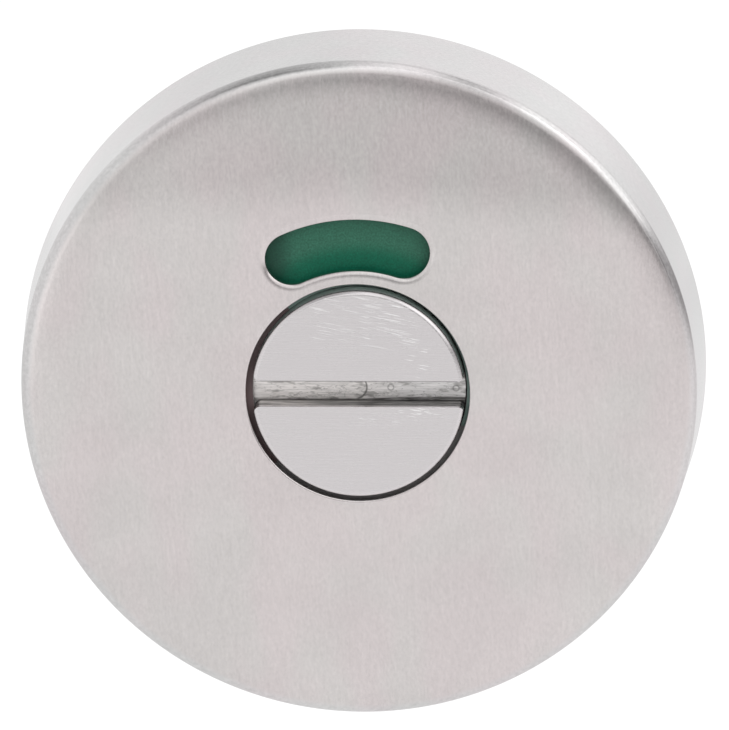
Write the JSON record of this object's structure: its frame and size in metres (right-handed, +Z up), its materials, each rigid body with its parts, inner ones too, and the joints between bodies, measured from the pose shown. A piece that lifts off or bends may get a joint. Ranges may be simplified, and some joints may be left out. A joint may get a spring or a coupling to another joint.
{
  "type": "bathroom lock emergency release rose with indicator",
  "caption": "Round stainless steel bathroom lock release rose with a coin slot and a green and red indicator window.",
  "frame": {"origin": "on the spindle's axis, in the plane of the door's face", "axes": "-Y out of the door towards the viewer, +Y into the door along the spindle, +X to the viewer's right, +Z up"},
  "size_m": [0.052, 0.0588, 0.052],
  "materials": {
    "satin_steel": "satin",
    "turned_steel": "satin",
    "plated_steel": "semi-gloss",
    "spring_steel": "satin",
    "black_nylon": "matte",
    "pale_acetal": "matte",
    "green_film": "semi-gloss",
    "red_film": "semi-gloss"
  },
  "bodies": {
    "rose": {"cover": "satin_steel", "base_plate": "black_nylon", "cover_grip_ring": "spring_steel", "bearing_bush": "pale_acetal", "threaded_post_left": "plated_steel", "threaded_post_right": "plated_steel", "stop_pin": "plated_steel"},
    "release": {"release_disc": "turned_steel", "indicator_disc": "black_nylon", "green_label": "green_film", "red_label": "red_film", "spindle": "plated_steel", "spindle_pin": "plated_steel", "thrust_washer": "plated_steel", "spring_washer": "spring_steel", "circlip": "spring_steel"}
  },
  "joints": [
    {"name": "release_turn", "type": "hinge", "parent": "rose", "child": "release", "pos_m": [0, 0, 0], "axis": [0, 1, 0], "range_deg": [0, 90]}
  ]
}
